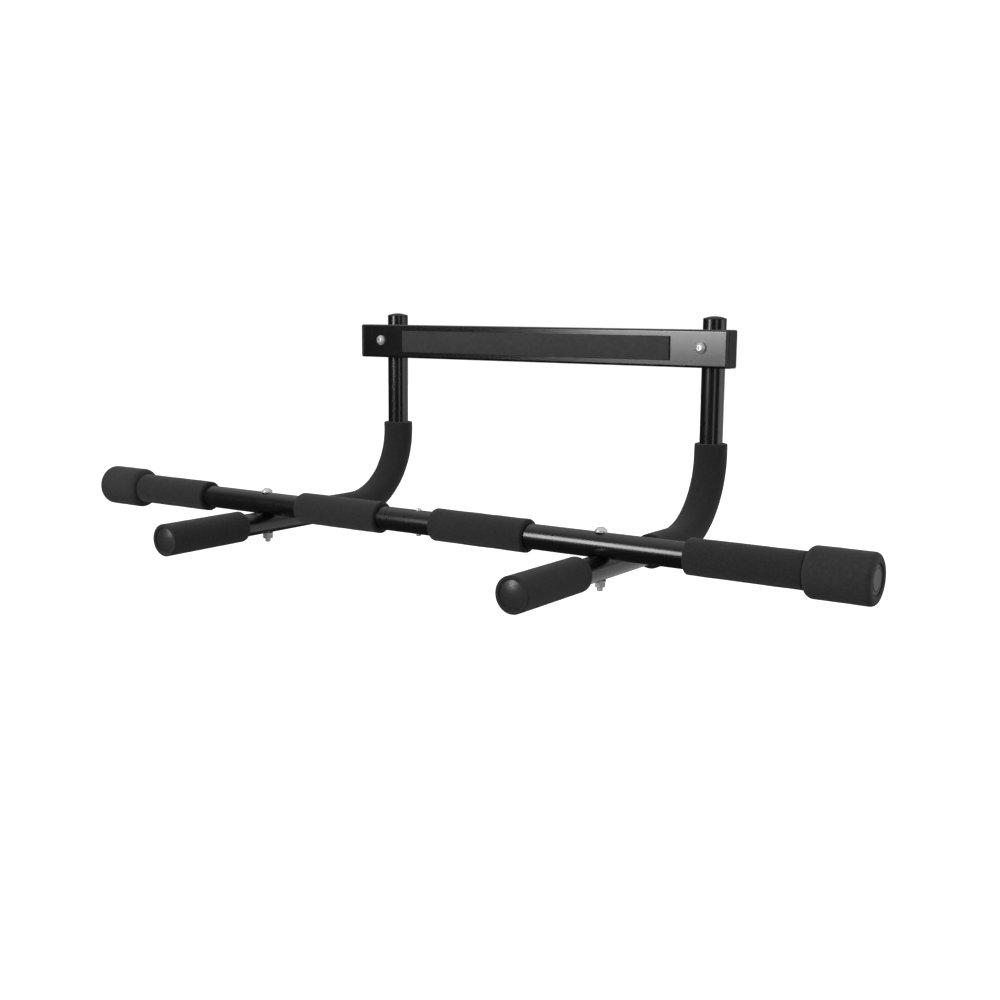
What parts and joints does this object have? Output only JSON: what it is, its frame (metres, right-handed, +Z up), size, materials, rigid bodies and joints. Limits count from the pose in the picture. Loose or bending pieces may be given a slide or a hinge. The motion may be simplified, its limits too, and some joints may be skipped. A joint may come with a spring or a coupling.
{
  "type": "doorway pull-up bar",
  "caption": "Doorway pull-up bar: long padded bar on two J-shaped arms with forward foam handles and a rear crossbar that hooks over the door trim.",
  "frame": {"origin": "middle of the crossbar's underside, the face that rests on the door trim", "axes": "+X along the main bar and crossbar, +Y to the rear (crossbar side), +Z up"},
  "size_m": [0.957, 0.4072, 0.2562],
  "materials": {
    "black_steel": "gloss",
    "zinc_steel": "bright zinc",
    "spring_steel": "satin",
    "black_foam": "matte closed-cell foam",
    "pad_rubber": "matte foam rubber",
    "strip_rubber": "matte",
    "black_plastic": "moulded",
    "grey_plastic": "moulded"
  },
  "bodies": {
    "frame": {"main_bar_left_tube": "black_steel", "main_bar_right_tube": "black_steel", "snap_spring_clip": "spring_steel", "crossbar_tube": "black_steel", "crossbar_pad_strip": "strip_rubber", "left_arm_tube": "black_steel", "left_arm_foam_sleeve": "black_foam", "left_outer_grip": "black_foam", "left_inner_grip": "black_foam", "left_handle_grip": "black_foam", "left_end_pad": "pad_rubber", "left_bar_end_plug": "black_plastic", "left_handle_end_plug": "grey_plastic", "left_upright_cap": "black_plastic", "crossbar_left_end_cap": "black_plastic", "left_arm_bolt": "zinc_steel", "left_arm_nut": "zinc_steel", "left_arm_washers": "zinc_steel", "left_crossbar_bolt": "zinc_steel", "left_crossbar_nut": "zinc_steel", "left_crossbar_washers": "zinc_steel", "right_arm_tube": "black_steel", "right_arm_foam_sleeve": "black_foam", "right_outer_grip": "black_foam", "right_inner_grip": "black_foam", "right_handle_grip": "black_foam", "right_end_pad": "pad_rubber", "right_bar_end_plug": "black_plastic", "right_handle_end_plug": "grey_plastic", "right_upright_cap": "black_plastic", "crossbar_right_end_cap": "black_plastic", "right_arm_bolt": "zinc_steel", "right_arm_nut": "zinc_steel", "right_arm_washers": "zinc_steel", "right_crossbar_bolt": "zinc_steel", "right_crossbar_nut": "zinc_steel", "right_crossbar_washers": "zinc_steel"},
    "upper_button": {"snap_button_upper": "zinc_steel"},
    "lower_button": {"snap_button_lower": "zinc_steel"}
  },
  "joints": [
    {"name": "upper_button_press", "type": "slide", "parent": "frame", "child": "upper_button", "axis": [0, 0, -1], "range_m": [0, 0.0037], "stiffness_N_per_m": 2500, "springref_m": -0.003},
    {"name": "lower_button_press", "type": "slide", "parent": "frame", "child": "lower_button", "axis": [0, 0, 1], "range_m": [0, 0.0037], "stiffness_N_per_m": 2500, "springref_m": -0.003}
  ]
}
